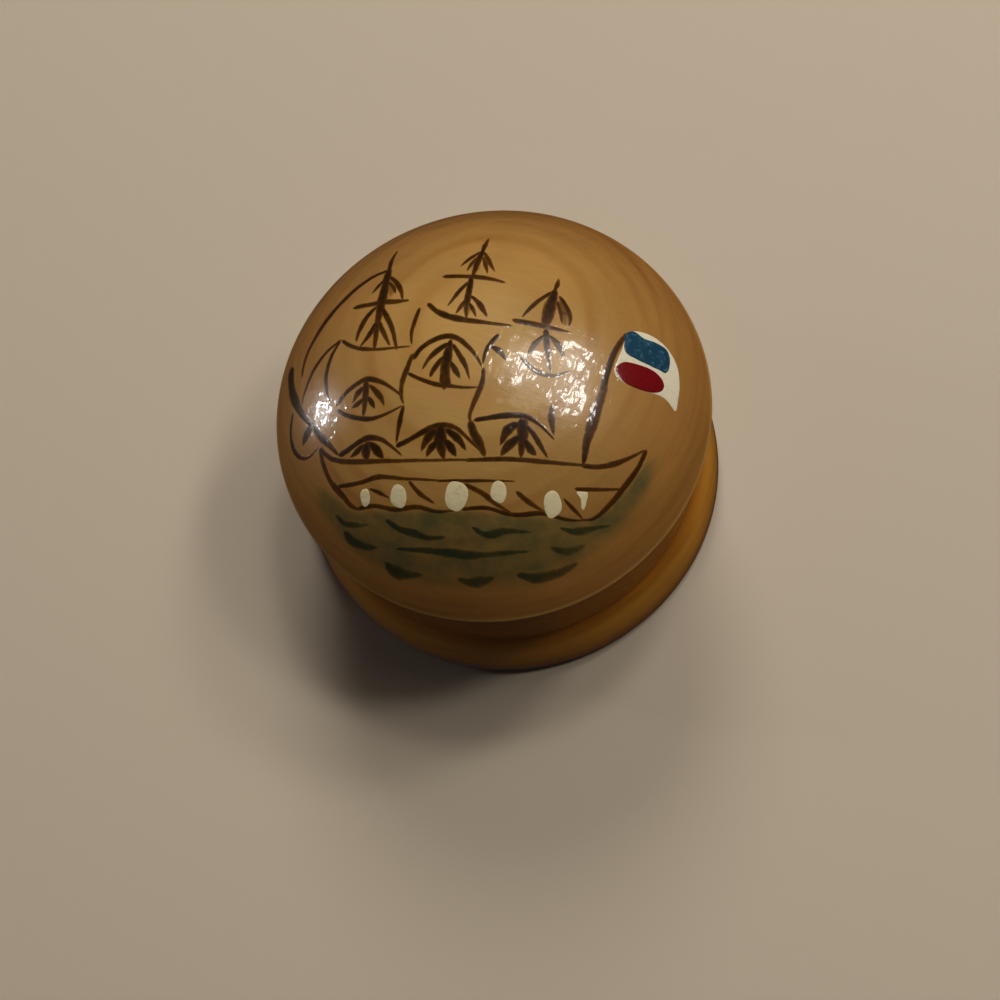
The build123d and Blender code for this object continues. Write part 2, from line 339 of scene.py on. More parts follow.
outside = joined(
    arc((0, dome_centre_z), dome_r, quarter, quarter - round_slope, 72),
    arc(round_centre, rim_round, quarter - round_slope, 0, 8),
    sagged(wall_top, wall_foot, cove_depth, 40),
    arc((seam_r - seam_round, seam_z + seam_round), seam_round, 0, -quarter, 6),
)
inside = joined(
    straight((seam_r - seam_round, seam_z), (socket_r, seam_z), 5),
    straight((socket_r, seam_z), (socket_r, socket_top), 12),
    straight((socket_r, socket_top), (hollow_r, socket_top), 3),
    straight((hollow_r, socket_top), (hollow_r, hollow_spring), 4),
    arc((0, hollow_top - ceiling_r), ceiling_r, quarter - ceiling_slope, quarter, 44),
)
lid_profile = joined(outside, inside)
lid_profile[[0, -1], 0] = 0
on_wall = np.clip((wall_top[1] - lid_profile[:, 1]) / (6 * MM), 0, 1)
on_wall[len(outside) :] = 0

lid = turned("lid_turned", lid_profile, lid_turns, hand_wander * on_wall, seed=4)
lid_is_bare = np.arange(len(lid_profile)) >= len(outside)
# darker towards the rim and down the wall: pooled amber and painted shade
lid_amber_and_light = amber_and_shade_at(lid_profile[:, 0], rim_z - lid_profile[:, 1])

# A narrow band on the crisp edge of the rim is paler: a painted highlight where the rounded edge
# catches the light
rim_highlight_up = 0.12 * MM
rim_highlight_half = 0.17 * MM
rim_highlight_band = np.abs(lid_profile[:, 1] - round_centre[1] - rim_highlight_up) < rim_highlight_half
lid_amber_and_light[rim_highlight_band & ~lid_is_bare] = 0.2
finish_rows(lid, lid_turns, amber_wood, lid_is_bare, lid_amber_and_light)
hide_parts("lid")
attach(lid, "lid")

# ---------------------------------------------------------------------------------------------
# The base. Turned from the same wood: a rounded foot, the shoulder that the lid comes down on, the
# spigot that holds the lid, and the cup. The foot is stained and varnished; the rest is bare.
# ---------------------------------------------------------------------------------------------
foot_edge = 1.1 * MM
spigot_wall = 2.3 * MM
spigot_lead = 0.5 * MM
floor_t = 2.6 * MM
cup_round = 2.0 * MM
spigot_r = socket_r - fit_gap
cup_r = spigot_r - spigot_wall
base_turns = 360
ochre_wood = lime("lime_under_ochre_varnish", "C68C2C", "B88028", varnished=True)

# The foot's round upper side is one arc from its widest circle to the seam, upright where it starts
foot_rise = seam_z - seam_round - foot_edge
foot_out = foot_r - seam_r
foot_round = (foot_out**2 + foot_rise**2) / (2 * foot_out)
foot_turn = math.asin(foot_rise / foot_round)

base_inside = joined(
    straight((0, floor_t), (cup_r - cup_round, floor_t), 30),
    arc((cup_r - cup_round, floor_t + cup_round), cup_round, -quarter, 0, 10),
    straight((cup_r, floor_t + cup_round), (cup_r, spigot_top), 12),
    straight((cup_r, spigot_top), (spigot_r - spigot_lead, spigot_top), 4),
    straight((spigot_r - spigot_lead, spigot_top), (spigot_r, spigot_top - spigot_lead), 3),
    straight((spigot_r, spigot_top - spigot_lead), (spigot_r, seam_z), 12),
    straight((spigot_r, seam_z), (seam_r - seam_round, seam_z), 4),
)
base_outside = joined(
    arc((seam_r - seam_round, seam_z - seam_round), seam_round, quarter, 0, 6),
    arc((foot_r - foot_round, foot_edge), foot_round, foot_turn, 0, 30),
    arc((foot_r - foot_edge, foot_edge), foot_edge, 0, -quarter, 10),
    straight((foot_r - foot_edge, 0), (0, 0), 16),
)
base_profile = joined(base_inside, base_outside)
on_foot = np.zeros(len(base_profile))
on_foot[len(base_inside) :] = 1
on_foot *= np.clip(base_profile[:, 1] / (2 * MM), 0, 1)
base = turned("base_turned", base_profile, base_turns, hand_wander * on_foot, seed=9)

# Darker at the foot's lower edge and in the corner under the seam, paler on the foot's upper side:
# partly amber that pooled, partly painted shade; heights are in mm
foot_shade_heights = [0, 1.0, 3.0, 4.4, 5.9]
foot_shade_amounts = [1.0, 0.95, 0.4, 0.3, 0.9]
foot_amber_and_shade = np.interp(base_profile[:, 1] / MM, foot_shade_heights, foot_shade_amounts)
base_is_bare = np.arange(len(base_profile)) < len(base_inside)
finish_rows(base, base_turns, ochre_wood, base_is_bare, foot_amber_and_shade)
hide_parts("base")
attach(base, "base")

# ---------------------------------------------------------------------------------------------
# The sea. A thin grey-green wash laid wet below the keel, and in it short curved strokes of dark
# blue-green, which bled a little at their edges.
# ---------------------------------------------------------------------------------------------
wash_top = [
    (-16.5, -8.6), (-15.0, -9.4), (-13.6, -10.3), (-12.2, -11.6), (-11.0, -12.0), (-5.0, -12.4),
    (3.0, -12.9), (9.6, -12.9), (11.6, -11.7), (13.2, -9.9), (15.0, -7.4), (16.5, -6.0),
]
wash_foot = [
    (-16.5, -9.5), (-15.2, -11.8), (-13.0, -14.5), (-10.0, -16.9), (-5.0, -18.7), (0.0, -19.1),
    (5.0, -18.5), (9.0, -16.8), (12.5, -13.8), (15.0, -10.3), (16.5, -7.0),
]


wash_upper_fade = 0.5
wash_lower_fade = 1.4
wash_half_length = 16.4
wash_end_fade = 1.5


def wash_at(plan):
    """How much wash lies at plan positions in mm: full between the two edges, and fading to nothing
    over a short way at the upper edge, a longer one at the lower edge, and at both ends.
    """
    x, y = plan[..., 0], plan[..., 1]
    under_top = np.clip((np.interp(x, *np.transpose(wash_top)) - y) / wash_upper_fade + 0.5, 0, 1)
    over_foot = np.clip((y - np.interp(x, *np.transpose(wash_foot))) / wash_lower_fade, 0, 1)
    across = np.clip((wash_half_length - np.abs(x)) / wash_end_fade, 0, 1)
    return under_top * over_foot * across


lid_points = np.empty(len(lid.data.vertices) * 3, np.float32)
lid.data.vertices.foreach_get("co", lid_points)
lid_points = lid_points.reshape(-1, 3)
note(lid, "wash", wash_at(lid_points[:, :2] / MM) * (lid_points[:, 2] > rim_z))


def catmull_rom(p0, p1, p2, p3, count):
    """The stretches of a Catmull-Rom curve from each p1 to its p2, count points on each.

    With neighbours p0 and p3 a stretch is half of (2 p1 + (p2 - p0) t
    + (2 p0 - 5 p1 + 4 p2 - p3) t^2 + (3 p1 - p0 - 3 p2 + p3) t^3), t from 0 to 1.
    """
    t = np.linspace(0, 1, count, endpoint=False)[None, :, None]
    made = 0.5 * (
        2 * p1
        + (p2 - p0) * t
        + (2 * p0 - 5 * p1 + 4 * p2 - p3) * t**2
        + (3 * p1 - p0 - 3 * p2 + p3) * t**3
    )
    return made.reshape(-1, 2)


def smooth_line(points, step):
    """A Catmull-Rom curve through the points, in mm, with about step mm between its own points. The
    neighbour past each end is the end's own reflection.
    """
    p = np.asarray(points, float)
    p = np.vstack([2 * p[0] - p[1], p, 2 * p[-1] - p[-2]])
    count = max(4, int(np.hypot(*(p[2:-1] - p[1:-2]).T).max() / step))
    made = catmull_rom(*(p[k : len(p) - 3 + k, None, :] for k in range(4)), count)
    return np.vstack([made, p[-2]])


def on_dome(plan, lift):
    """Points over plan positions in mm, lift mm off the dome: centre + (R + lift) * unit normal."""
    r = dome_r / MM
    up = np.sqrt(np.maximum(r**2 - (plan**2).sum(-1), 1e-6))
    normal = np.concatenate([plan, up[..., None]], axis=-1) / r
    return (normal * (r + lift)[..., None]) * MM + np.array([0, 0, dome_centre_z])


line_film = 0.012  # how high a loaded brush line stands, in mm
stroke_root = 0.04  # how far a stroke's underside lies inside the wood, in mm


def brush_strokes(name, strokes, film, wander, seed):
    """A mesh of brush strokes on the dome. A stroke is (its widths at the start, middle and end in
    mm, how loaded the brush was, and its points in plan in mm).

    Across a stroke u runs from -1 to 1, and the film stands film * load * (1.1 (1 - u^2) - 0.1)
    off the wood, so its edges, and in the same way its two ends, lie just under the surface. Along
    it the width passes through the three given, a little fuller midway, and rounds off over half
    the greatest width at each end, and each edge wanders by wander times smoothed noise. The
    underside lies just inside the wood, so that the stroke is closed. 'paint' on each point is how
    much paint is there: load * (1 - |u|^3), less at both ends and drying out towards the far one.
    """
    rng = np.random.default_rng(seed)
    u = np.linspace(-1, 1, 9)
    all_points, all_faces, all_paint, all_plan, start = [], [], [], [], 0
    for widths, loaded, points in strokes:
        line = smooth_line(points, 0.2)
        n = len(line)
        s = np.linspace(0, 1, n)
        forward = np.gradient(line, axis=0)
        forward /= np.hypot(*forward.T)[:, None]
        side = np.column_stack([-forward[:, 1], forward[:, 0]])
        swell = np.interp(s, [0, 0.5, 1], widths) / 2
        swell = swell + 0.12 * (max(widths) - np.mean(widths)) * np.sin(math.pi * s)
        from_end = np.minimum(s, 1 - s) * np.hypot(*np.diff(line, axis=0).T).sum()
        swell *= np.sqrt(np.clip(from_end / (0.5 * max(widths)), 0.05, 1))
        noise = rng.normal(0, 1, (2, n + 6))
        ragged = np.stack([np.convolve(row, np.ones(7) / 7, "valid")[:n] for row in noise])
        left, right = (swell * (1 + wander * ragged[k]) for k in (0, 1))
        reach = np.where(u[None, :] < 0, left[:, None], right[:, None]) * u[None, :]
        plan = line[:, None, :] + reach[..., None] * side[:, None, :]
        tips = np.clip(np.minimum(s, 1 - s) * (n - 1) / 1.5, 0, 1)[:, None]
        lift = film * loaded * ((1 - u**2)[None, :] * tips * 1.1 - 0.1)
        under = on_dome(line[:, None, :], np.full((n, 1), -stroke_root))
        ring = np.concatenate([on_dome(plan, lift), under], axis=1)
        drying = (1 - 0.35 * s**2) * (1 + 0.1 * ragged.mean(axis=0)) * rng.uniform(0.85, 1.05)
        load = loaded * (1 - np.abs(u) ** 3)[None, :] * (0.35 + 0.65 * tips) * drying[:, None]
        m = ring.shape[1]
        i, j = np.meshgrid(np.arange(n - 1), np.arange(m), indexing="ij")
        k = (j + 1) % m
        a, b = start + i * m, start + (i + 1) * m
        all_faces += np.stack([a + j, b + j, b + k, a + k], axis=-1).reshape(-1, 4).tolist()
        first_end = start + np.arange(m)
        far_end = start + (n - 1) * m + np.arange(m)
        all_faces += [first_end.tolist(), far_end[::-1].tolist()]
        all_points.append(ring.reshape(-1, 3))
        all_plan.append(np.concatenate([plan, line[:, None, :]], axis=1).reshape(-1, 2))
        all_paint.append(np.concatenate([load, np.zeros((n, 1))], axis=1).ravel())
        start += n * m
    piece = mesh_piece(name, np.vstack(all_points), all_faces, 80)
    plan = np.vstack(all_plan)
    note(piece, "paint", np.concatenate(all_paint))
    note(piece, "wash", wash_at(plan))
    # the strokes darken towards the rim like the lid: pooled amber and painted shade
    note(piece, "varnish", amber_and_shade_at(np.hypot(*plan.T) * MM))
    return piece


def line_paint(name, full, stain):
    """Artist's paint in a thin brushed line under the varnish. Where the stroke is loaded it covers.
    At its edges and tail it only stains, and the wood shows through, in flecks about 0.45 mm wide.
    """
    made, tree, shader = node_tree(name)
    in_mm = wood_axes(tree)
    tone, _ = stained_colour(tree, in_mm, *AMBER_TONES)
    varnish_over(tree, shader, in_mm)
    streak = add(tree, "TexNoise", {}, {"Vector": in_mm, "Scale": 2.2, "Detail": 3.0}).outputs[0]
    paint = add(tree, "Attribute", {"attribute_name": "paint"}).outputs["Fac"]
    broken = add(tree, "MapRange", {}, {0: streak, 1: 0.3, 2: 0.7, 3: 0.85, 4: 1.15}).outputs[0]
    load = add(tree, "Math", {"operation": "MULTIPLY"}, {0: paint, 1: broken}).outputs[0]
    stains = add(tree, "MapRange", SMOOTH, {0: load, 1: 0.0, 2: 0.5}).outputs[0]
    covers = add(tree, "MapRange", SMOOTH, {0: load, 1: 0.3, 2: 0.95}).outputs[0]
    tone = add(tree, "Mix", MULTIPLY_COLOURS, {0: stains, 6: tone, 7: linear(stain)}).outputs[2]
    tone = add(tree, "Mix", MIX_COLOURS, {0: covers, 6: tone, 7: linear(full)}).outputs[2]
    tree.links.new(tone, shader.inputs["Base Color"])
    shader.inputs["Roughness"].default_value = VARNISHED_ROUGHNESS
    shader.inputs["IOR"].default_value = SURFACE_IOR
    return made


sea_paint = line_paint("sea_green_line_paint", "17302C", "869A8C")
wave_lines = [
    ((0.32, 0.58, 0.17), 0.47, [(-13.8, -11.6), (-12.8, -12.5), (-11.4, -12.9), (-10.2, -13.0)]),
    ((0.65, 1.05, 0.24), 0.59, [(-13.0, -13.1), (-12.0, -14.1), (-10.8, -14.7), (-9.4, -14.9)]),
    ((0.37, 0.71, 0.24), 0.57,
     [(-8.6, -12.8), (-7.4, -13.6), (-6.0, -14.1), (-4.6, -14.6), (-2.8, -14.6)]),
    ((0.28, 0.77, 0.24), 0.57,
     [(-7.8, -15.2), (-5.4, -15.5), (-3.0, -15.8), (-0.5, -16.1), (2.0, -15.9), (4.6, -15.7)]),
    ((0.37, 0.82, 0.24), 0.59, [(-0.5, -13.9), (0.8, -14.5), (2.6, -14.2), (5.0, -14.2)]),
    ((0.28, 0.71, 0.17), 0.53, [(7.2, -13.7), (8.6, -13.9), (10.0, -13.5), (11.8, -13.0)]),
    ((0.37, 0.71, 0.35), 0.47, [(6.3, -15.3), (7.8, -15.5), (9.6, -14.8)]),
    ((0.56, 1.11, 0.35), 0.59, [(-9.0, -16.1), (-8.2, -16.8), (-7.0, -17.2), (-5.2, -17.4)]),
    ((0.37, 0.88, 0.35), 0.53, [(-2.2, -17.8), (-1.0, -18.1), (0.4, -18.0), (1.4, -17.7)]),
    ((0.46, 1.00, 0.35), 0.57, [(3.2, -17.5), (4.8, -17.7), (6.6, -17.3), (8.9, -16.2)]),
]
waves = brush_strokes("wave_strokes", wave_lines, line_film, wander=0.25, seed=23)
waves.data.materials.append(sea_paint)
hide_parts("waves")
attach(waves, "lid")

# ---------------------------------------------------------------------------------------------
# The ship's brown lines. Each is one stroke of a fine round brush, laid on the stained dome before
# the last varnish: loaded and dark where it starts or was pressed, thin and stained where it lifts.
# ---------------------------------------------------------------------------------------------
brown_paint = line_paint("sepia_line_paint", "2A1803", "917748")

ship_lines = [
    # hull: deck, stem, keel, stern, strakes, and the slanting shadows between the portholes
    ((0.44, 0.57, 0.24), 0.70,
     [(-15.2, -5.6), (-14.2, -6.7), (-12.6, -7.4), (-9.5, -7.9), (-5.0, -8.3), (0.0, -8.5)]),
    ((0.41, 0.52, 0.22), 0.70, [(-1.0, -8.5), (3.0, -8.4), (7.0, -8.5), (11.2, -8.4)]),
    ((0.44, 0.57, 0.24), 0.70, [(9.2, -8.5), (11.0, -8.4), (12.9, -7.6), (15.0, -6.2)]),
    ((0.44, 0.57, 0.24), 0.70,
     [(-15.2, -5.6), (-14.9, -7.0), (-13.9, -9.1), (-12.6, -10.6), (-11.2, -11.7)]),
    ((0.41, 0.52, 0.22), 0.70, [(-13.9, -8.9), (-13.0, -10.0), (-12.0, -11.2), (-10.9, -11.8)]),
    ((0.41, 0.52, 0.22), 0.70,
     [(-11.4, -11.6), (-9.6, -11.6), (-7.6, -12.1), (-5.4, -12.1), (-3.4, -12.6), (-1.0, -12.4)]),
    ((0.36, 0.45, 0.19), 0.70,
     [(-1.4, -12.5), (0.8, -12.4), (3.2, -12.9), (5.8, -12.7), (8.0, -13.0), (9.8, -12.9)]),
    ((0.41, 0.52, 0.22), 0.70,
     [(15.0, -6.2), (14.2, -8.0), (12.8, -10.0), (11.5, -11.6), (10.2, -12.7), (9.0, -12.9)]),
    ((0.41, 0.52, 0.22), 0.70,
     [(-13.4, -9.4), (-11.2, -9.5), (-9.0, -9.3), (-6.5, -9.7), (-3.0, -10.1)]),
    ((0.27, 0.35, 0.14), 0.70, [(-3.6, -10.1), (0.0, -10.2), (3.6, -10.2)]),
    ((0.35, 0.43, 0.18), 0.70, [(8.6, -10.5), (10.8, -10.3), (13.2, -9.9)]),
    ((0.19, 0.38, 0.13), 0.70, [(-10.1, -10.1), (-9.0, -10.6), (-8.0, -11.2)]),
    ((0.38, 0.49, 0.19), 0.70, [(-6.2, -9.9), (-5.2, -11.0), (-3.7, -12.0)]),
    ((0.44, 0.57, 0.24), 0.70, [(-1.1, -10.4), (0.5, -11.2), (1.8, -12.1), (3.3, -12.9)]),
    ((0.44, 0.57, 0.24), 0.70, [(3.5, -11.0), (4.7, -11.9), (6.3, -12.7)]),
    ((0.23, 0.49, 0.17), 0.70, [(7.6, -11.3), (8.5, -12.1), (9.4, -12.9)]),
    # bowsprit and its stays
    ((0.83, 1.03, 0.44), 1.00,
     [(-19.4, 4.0), (-19.1, 1.8), (-18.4, -0.2), (-17.4, -1.8), (-16.1, -3.4)]),
    ((0.45, 0.93, 0.32), 1.00, [(-16.0, -3.0), (-16.7, -3.9), (-17.3, -4.9)]),
    ((0.37, 0.47, 0.20), 0.81,
     [(-18.6, -1.2), (-18.8, -3.0), (-18.5, -4.6), (-17.6, -5.8), (-16.5, -6.1), (-15.4, -5.5)]),
    ((0.54, 0.69, 0.29), 0.81, [(-15.9, -3.4), (-15.2, -4.5), (-14.2, -5.6), (-13.0, -6.9)]),
    ((0.54, 0.69, 0.29), 0.81,
     [(-9.4, 12.0), (-11.6, 11.3), (-13.6, 9.8), (-15.4, 7.9), (-16.8, 5.8), (-17.6, 3.9),
      (-17.8, 2.0)]),
    ((0.39, 0.49, 0.21), 0.81,
     [(-13.4, 4.6), (-15.0, 3.7), (-16.3, 2.3), (-17.1, 0.6), (-17.5, -0.9)]),
    ((0.39, 0.49, 0.21), 0.81,
     [(-13.5, 4.5), (-14.4, 3.0), (-14.8, 1.2), (-14.6, -0.6), (-14.2, -1.7)]),
    # fore mast
    ((0.44, 0.55, 0.23), 0.86, [(-9.4, 11.6), (-9.4, 13.2), (-9.0, 14.9)]),
    ((0.83, 1.03, 0.44), 0.99, [(-9.4, 12.2), (-9.5, 9.5), (-9.7, 6.0), (-9.8, 2.4)]),
    ((0.61, 0.76, 0.32), 0.86, [(-12.7, 8.0), (-10.0, 7.8), (-8.0, 7.5), (-6.7, 7.4)]),
    ((0.24, 0.51, 0.17), 0.86, [(-9.5, 10.9), (-10.2, 10.0), (-10.8, 9.1)]),
    ((0.46, 0.59, 0.24), 0.86, [(-9.2, 11.0), (-8.3, 9.9), (-7.7, 8.7), (-7.4, 7.5)]),
    ((0.23, 0.46, 0.16), 0.86, [(-9.3, 10.4), (-8.6, 9.4), (-8.2, 8.5)]),
    ((0.51, 0.63, 0.26), 0.86, [(-10.0, 7.5), (-11.0, 6.3), (-11.6, 4.9), (-11.8, 3.8)]),
    ((0.30, 0.62, 0.22), 0.86, [(-9.9, 5.6), (-10.4, 4.4), (-11.4, 3.1)]),
    ((0.54, 0.69, 0.29), 0.86, [(-9.6, 7.3), (-8.8, 5.9), (-8.1, 4.3), (-7.5, 2.0)]),
    ((0.46, 0.59, 0.24), 0.86, [(-9.7, 5.7), (-9.0, 4.2), (-8.2, 2.6)]),
    ((0.39, 0.49, 0.21), 0.86,
     [(-13.4, 4.5), (-12.5, 3.7), (-11.3, 3.0), (-9.8, 2.6), (-8.0, 2.4), (-6.1, 2.3)]),
    # main mast
    ((0.26, 0.55, 0.20), 0.84, [(-0.3, 12.6), (-0.1, 13.8), (0.15, 14.9)]),
    ((0.61, 0.76, 0.32), 0.99, [(-0.2, 13.2), (-0.6, 11.3), (-0.9, 9.4)]),
    ((0.54, 0.69, 0.29), 0.84, [(-1.0, 9.6), (-1.1, 7.6), (-1.2, 6.2), (-1.1, 4.6)]),
    ((0.54, 0.69, 0.29), 0.84, [(-3.8, 9.8), (-1.5, 9.6), (0.8, 9.2), (2.3, 8.7)]),
    ((0.25, 0.53, 0.18), 0.84, [(-0.4, 12.9), (-1.3, 12.0), (-2.2, 10.9)]),
    ((0.24, 0.51, 0.17), 0.84, [(-0.5, 12.3), (-1.1, 11.3), (-1.5, 10.2)]),
    ((0.28, 0.59, 0.21), 0.84, [(-0.1, 12.8), (0.4, 11.6), (1.2, 10.0)]),
    ((0.24, 0.51, 0.17), 0.84, [(-0.2, 12.2), (0.2, 11.0), (0.5, 9.8)]),
    ((0.41, 0.52, 0.22), 0.84, [(-1.1, 9.0), (-1.9, 8.0), (-2.5, 7.0), (-3.0, 6.2)]),
    ((0.26, 0.55, 0.20), 0.84, [(-1.1, 7.2), (-1.6, 6.2), (-2.2, 5.2)]),
    ((0.32, 0.66, 0.23), 0.84, [(-1.0, 7.4), (-0.1, 6.4), (0.4, 5.6), (0.8, 4.8)]),
    ((0.24, 0.51, 0.17), 0.84, [(-1.1, 6.6), (-0.6, 5.8), (-0.2, 4.8)]),
    ((0.57, 0.72, 0.30), 0.84,
     [(-4.9, 6.8), (-4.0, 5.8), (-2.8, 5.1), (-1.2, 4.6), (1.0, 4.2), (3.2, 3.9)]),
    # mizzen mast
    ((0.25, 0.53, 0.18), 0.84, [(6.6, 7.8), (6.9, 8.8), (7.0, 9.7)]),
    ((0.69, 1.21, 0.92), 0.88, [(6.8, 8.4), (6.5, 6.8), (6.2, 5.2), (6.0, 3.9)]),
    ((0.57, 0.72, 0.30), 0.84, [(3.0, 4.6), (4.8, 4.2), (6.5, 3.9), (8.4, 3.6)]),
    ((0.41, 0.52, 0.22), 0.84, [(6.6, 8.0), (5.5, 7.0), (4.6, 5.9), (3.9, 4.8)]),
    ((0.41, 0.52, 0.22), 0.84, [(7.1, 7.6), (7.8, 6.4), (8.2, 5.2), (8.1, 4.2)]),
    ((0.24, 0.51, 0.17), 0.84, [(6.9, 7.0), (7.3, 5.8), (7.5, 4.4)]),
    ((0.54, 0.69, 0.29), 0.84, [(6.1, 3.8), (6.2, 2.2), (6.6, -0.6)]),
    ((0.32, 0.66, 0.23), 0.84, [(6.1, 3.2), (5.2, 2.2), (4.5, 0.9)]),
    ((0.32, 0.66, 0.23), 0.84, [(6.3, 3.2), (7.2, 2.2), (7.9, 0.8)]),
    ((0.39, 0.49, 0.21), 0.84, [(3.9, 0.9), (5.2, -0.4), (6.8, -0.8), (8.4, -0.2)]),
    ((0.32, 0.66, 0.23), 0.84, [(1.2, 1.8), (2.0, 1.4), (2.8, 0.3)]),
    # fore course
    ((0.51, 0.63, 0.26), 0.86,
     [(-13.5, -2.2), (-12.5, -1.2), (-11.3, -0.5), (-10.3, -0.3), (-9.0, -0.8), (-7.8, -1.6),
      (-6.6, -2.6)]),
    ((0.41, 0.52, 0.22), 0.86,
     [(-13.4, -2.6), (-12.4, -3.3), (-11.0, -3.9), (-9.6, -4.1), (-8.0, -3.8), (-6.6, -3.3)]),
    ((0.68, 0.86, 0.36), 1.00, [(-10.5, -0.4), (-10.4, -1.8), (-10.6, -3.9)]),
    ((0.32, 0.66, 0.23), 0.86, [(-10.5, -0.9), (-11.2, -1.5), (-11.8, -2.4)]),
    ((0.28, 0.59, 0.21), 0.86, [(-10.5, -2.0), (-11.2, -2.5), (-11.9, -2.8)]),
    ((0.32, 0.66, 0.23), 0.86, [(-10.2, -0.8), (-9.4, -1.6), (-8.8, -2.4), (-8.5, -3.2)]),
    ((0.28, 0.59, 0.21), 0.86, [(-10.3, -1.9), (-9.8, -2.6), (-9.4, -3.3)]),
    # main course
    ((0.52, 0.66, 0.28), 0.88,
     [(-5.9, 0.9), (-5.3, 1.8), (-4.2, 2.6), (-2.9, 3.0), (-1.8, 2.7), (-0.8, 1.8), (0.0, 0.8),
      (0.6, -0.3)]),
    ((0.41, 0.52, 0.22), 0.88,
     [(-6.4, -0.3), (-5.2, -1.0), (-3.8, -1.6), (-2.4, -1.9), (-1.0, -2.1), (0.3, -2.1)]),
    ((0.69, 1.15, 0.80), 1.00, [(-2.4, 2.7), (-2.7, 1.0), (-2.8, -0.6), (-2.9, -2.3)]),
    ((0.51, 0.63, 0.26), 0.88, [(-2.5, 2.3), (-3.6, 1.6), (-4.4, 0.8), (-5.0, -0.2)]),
    ((0.32, 0.66, 0.23), 0.88, [(-2.6, 1.2), (-3.4, 0.5), (-4.0, -0.4), (-4.2, -1.0)]),
    ((0.46, 0.59, 0.24), 0.88, [(-2.3, 2.2), (-1.6, 1.1), (-1.0, 0.0), (-0.5, -1.5)]),
    ((0.32, 0.66, 0.23), 0.88, [(-2.5, 0.6), (-1.9, -0.4), (-1.4, -1.3)]),
    # edges of the courses
    ((0.41, 0.52, 0.22), 0.81, [(-5.6, 6.4), (-5.9, 5.2), (-6.2, 3.8), (-6.1, 2.4)]),
    ((0.48, 0.61, 0.25), 0.81,
     [(-5.9, 1.6), (-6.3, 0.4), (-6.8, -1.0), (-6.9, -2.3), (-6.6, -3.3)]),
    ((0.41, 0.52, 0.22), 0.81, [(-6.6, -3.3), (-7.0, -4.8), (-7.3, -6.7)]),
    ((0.46, 0.59, 0.24), 0.81, [(2.0, 3.1), (1.3, 2.2), (0.8, 1.2), (0.6, 0.0)]),
    ((0.46, 0.59, 0.24), 0.81, [(0.7, -0.2), (0.6, -1.6), (0.0, -3.2), (-0.5, -4.6), (-0.4, -5.2)]),
    ((0.78, 0.99, 0.41), 0.81, [(-0.5, -5.0), (-0.1, -6.2), (0.5, -7.3), (0.9, -8.3)]),
    ((0.34, 0.71, 0.24), 0.81, [(6.8, -3.4), (6.7, -4.6), (6.9, -6.2)]),
    # lower row of sails
    ((0.50, 0.63, 0.26), 0.92,
     [(-13.2, -6.8), (-12.2, -6.5), (-11.0, -6.0), (-10.0, -5.8), (-8.8, -6.1), (-7.8, -6.8),
      (-6.7, -7.8)]),
    ((0.49, 1.02, 0.35), 1.00, [(-10.2, -6.0), (-10.3, -7.0), (-10.1, -7.8)]),
    ((0.41, 0.85, 0.29), 1.00, [(-10.1, -6.1), (-9.2, -7.0), (-8.5, -7.8)]),
    ((0.37, 0.76, 0.26), 1.00, [(-10.4, -6.2), (-11.2, -6.8), (-12.0, -7.2)]),
    ((0.50, 0.63, 0.26), 0.92,
     [(-7.4, -6.9), (-6.0, -6.4), (-4.6, -5.8), (-3.2, -5.4), (-1.8, -5.7), (-0.6, -6.7),
      (0.8, -8.0)]),
    ((1.09, 1.37, 0.57), 1.00, [(-3.1, -5.3), (-3.2, -6.8), (-2.8, -8.5)]),
    ((0.45, 0.93, 0.32), 1.00, [(-3.3, -5.7), (-4.3, -6.4), (-5.0, -7.6)]),
    ((0.38, 0.78, 0.27), 1.00, [(-3.2, -6.6), (-4.0, -7.3), (-4.5, -8.1)]),
    ((0.41, 0.85, 0.29), 1.00, [(-2.8, -5.7), (-1.7, -6.5), (-0.8, -7.7)]),
    ((0.40, 0.82, 0.29), 1.00, [(-2.9, -6.6), (-2.2, -7.4), (-1.7, -8.2)]),
    ((0.50, 0.63, 0.26), 0.92,
     [(-0.2, -5.1), (1.6, -4.8), (3.2, -4.6), (4.6, -4.7), (5.8, -5.4), (7.0, -6.6)]),
    ((0.89, 1.12, 0.47), 0.92, [(4.2, -4.7), (4.2, -6.2), (4.0, -8.4)]),
    ((0.49, 1.02, 0.35), 1.00, [(4.0, -5.2), (2.9, -5.9), (2.2, -7.3)]),
    ((0.45, 0.93, 0.32), 1.00, [(4.1, -6.3), (3.0, -7.2), (2.2, -8.2)]),
    ((0.48, 0.61, 0.25), 0.92, [(4.4, -5.3), (5.2, -6.3), (5.8, -7.2), (6.4, -8.2)]),
    ((0.41, 0.85, 0.29), 1.00, [(4.2, -6.5), (4.9, -7.5), (5.4, -8.0)]),
    # thin washes of brown that fill the small upper sails, and the dark heart of the main course
    ((0.5, 1.4, 1.2), 0.48, [(6.8, 8.0), (6.4, 6.2), (6.1, 4.5)]),
    ((0.4, 0.9, 0.7), 0.42, [(7.0, 7.2), (7.6, 5.6), (7.8, 4.2)]),
    ((0.4, 1.0, 0.9), 0.44, [(-0.3, 12.8), (-0.6, 11.4), (-0.7, 10.0)]),
    ((0.4, 0.9, 0.8), 0.38, [(-9.3, 10.9), (-8.9, 9.6), (-8.6, 8.2)]),
    ((0.4, 0.9, 0.7), 0.38, [(-1.1, 7.0), (-1.1, 6.0), (-1.1, 5.0)]),
    ((0.4, 1.2, 0.5), 0.90, [(-3.3, -0.6), (-2.8, -1.3), (-2.2, -2.0)]),
    # flag pole, pointed at the deck and broad a little above it
    ((0.35, 1.10, 0.80), 0.80, [(9.4, -8.5), (9.8, -6.4), (10.6, -3.6), (11.5, -0.8)]),
